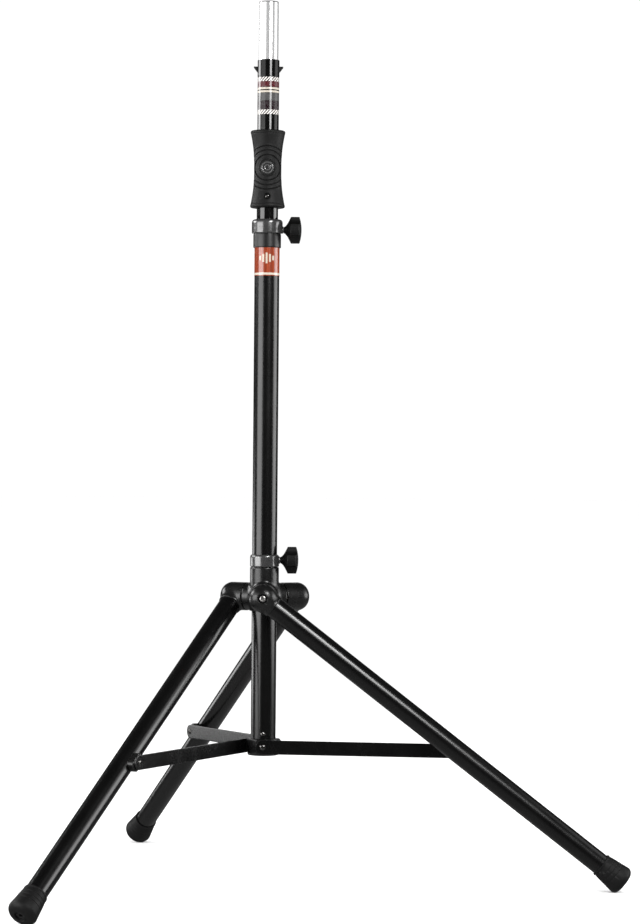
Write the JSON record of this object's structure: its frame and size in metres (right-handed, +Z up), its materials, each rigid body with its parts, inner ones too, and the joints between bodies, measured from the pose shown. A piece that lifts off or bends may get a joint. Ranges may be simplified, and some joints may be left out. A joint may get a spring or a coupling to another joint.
{
  "type": "speaker tripod stand",
  "caption": "Folding tripod stand with a telescoping mast, sliding hub, braced legs, two clamp knobs and a 35 mm speaker spigot on top.",
  "frame": {"origin": "on the floor, on the mast's axis", "axes": "+Z up along the mast, +X along leg 1 and towards both clamp knobs"},
  "size_m": [1.0394, 1.1318, 1.5649],
  "materials": {
    "black_paint": "gloss black powder coat",
    "black_casting": "satin black paint on cast aluminium",
    "black_strut": "satin black paint on steel",
    "clamp_metal": "polished",
    "chrome": "mirror",
    "steel": "zinc plated",
    "black_rubber": "matt",
    "black_plastic": "matt",
    "nylon": "natural",
    "brass": "machined",
    "band_red": "printed film",
    "label_film": "printed film",
    "silver_badge": "silvered"
  },
  "bodies": {
    "mast": {"outer_tube": "black_paint", "base_fitting": "black_casting", "base_screws": "steel", "strut_base_bolts": "steel", "upper_collar": "black_plastic", "upper_clamp_ring": "clamp_metal", "upper_brake_pad": "brass", "upper_bush": "nylon", "colour_band": "band_red", "gas_spring_cylinder": "black_strut", "gas_spring_gland": "steel"},
    "inner_mast": {"inner_tube": "black_paint", "inner_tube_guide": "nylon", "adapter_sleeve": "black_plastic", "spigot": "chrome", "spigot_cap": "black_plastic", "caution_label": "label_film", "grip_front": "black_rubber", "grip_rear": "black_rubber", "grip_badge": "silver_badge", "grip_screws": "steel", "gas_spring_rod": "chrome", "gas_spring_piston": "steel", "rod_end": "steel", "cross_pin": "steel", "catch_spring": "steel"},
    "catch_right": {"catch_right": "black_plastic"},
    "catch_left": {"catch_left": "black_plastic"},
    "hub": {"hub_casting": "black_casting", "hub_bushes": "nylon", "hub_clamp_ring": "clamp_metal", "hub_brake_pad": "brass", "hub_grub_screw": "steel", "hinge_bolts": "steel", "hinge_washers": "nylon"},
    "upper_knob": {"upper_knob": "black_rubber", "upper_knob_stud": "steel"},
    "lower_knob": {"lower_knob": "black_rubber", "lower_knob_stud": "steel"},
    "leg_1": {"leg_1_knuckle": "black_casting", "leg_1_tube": "black_paint", "leg_1_foot": "black_rubber", "leg_1_bracket": "black_casting"},
    "strut_1": {"strut_1": "black_strut", "strut_1_bolt": "steel"},
    "leg_2": {"leg_2_knuckle": "black_casting", "leg_2_tube": "black_paint", "leg_2_foot": "black_rubber", "leg_2_bracket": "black_casting"},
    "strut_2": {"strut_2": "black_strut", "strut_2_bolt": "steel"},
    "leg_3": {"leg_3_knuckle": "black_casting", "leg_3_tube": "black_paint", "leg_3_foot": "black_rubber", "leg_3_bracket": "black_casting"},
    "strut_3": {"strut_3": "black_strut", "strut_3_bolt": "steel"}
  },
  "joints": [
    {"name": "mast_height", "type": "slide", "parent": "mast", "child": "inner_mast", "axis": [0, 0, 1], "range_m": [-0.019, 0.53]},
    {"name": "hub_slide", "type": "slide", "parent": "mast", "child": "hub", "axis": [0, 0, 1], "range_m": [0, 0.51964]},
    {"name": "leg_1_fold", "type": "hinge", "parent": "hub", "child": "leg_1", "pos_m": [0, -0.06036, 0.50917], "axis": [0, 1, 0], "range_deg": [0, 52.26]},
    {"name": "leg_2_fold", "type": "hinge", "parent": "hub", "child": "leg_2", "pos_m": [0.05227, 0.03018, 0.50917], "axis": [-0.866, -0.5, 0], "range_deg": [0, 52.26]},
    {"name": "leg_3_fold", "type": "hinge", "parent": "hub", "child": "leg_3", "pos_m": [-0.05227, 0.03018, 0.50917], "axis": [0.866, -0.5, 0], "range_deg": [0, 52.26]},
    {"name": "strut_1_fold", "type": "hinge", "parent": "mast", "child": "strut_1", "pos_m": [0, -0.0285, 0.245], "axis": [0, -1, 0], "range_deg": [0, 90.64]},
    {"name": "strut_2_fold", "type": "hinge", "parent": "mast", "child": "strut_2", "pos_m": [0.02468, 0.01425, 0.245], "axis": [0.866, 0.5, 0], "range_deg": [0, 90.64]},
    {"name": "strut_3_fold", "type": "hinge", "parent": "mast", "child": "strut_3", "pos_m": [-0.02468, 0.01425, 0.245], "axis": [-0.866, 0.5, 0], "range_deg": [0, 90.64]},
    {"name": "upper_knob_turn", "type": "hinge", "parent": "mast", "child": "upper_knob", "pos_m": [0.0292, 0, 1.16], "axis": [1, 0, 0], "range_deg": [0, 540]},
    {"name": "lower_knob_turn", "type": "hinge", "parent": "hub", "child": "lower_knob", "pos_m": [0.0279, 0, 0.5746], "axis": [1, 0, 0], "range_deg": [0, 540]},
    {"name": "catch_right_press", "type": "slide", "parent": "inner_mast", "child": "catch_right", "axis": [-1, 0, 0], "range_m": [0, 0.0062], "stiffness_N_per_m": 400, "springref_m": -0.004, "deforming": ["catch_spring"]},
    {"name": "catch_left_press", "type": "slide", "parent": "inner_mast", "child": "catch_left", "axis": [1, 0, 0], "range_m": [0, 0.0062], "stiffness_N_per_m": 400, "springref_m": -0.004}
  ],
  "couplings": [
    {"joint": "leg_1_fold", "follows": "hub_slide", "rad_per_m": 1.7549},
    {"joint": "leg_2_fold", "follows": "hub_slide", "rad_per_m": 1.7549},
    {"joint": "leg_3_fold", "follows": "hub_slide", "rad_per_m": 1.7549},
    {"joint": "strut_1_fold", "follows": "hub_slide", "rad_per_m": 3.044},
    {"joint": "strut_2_fold", "follows": "hub_slide", "rad_per_m": 3.044},
    {"joint": "strut_3_fold", "follows": "hub_slide", "rad_per_m": 3.044}
  ]
}
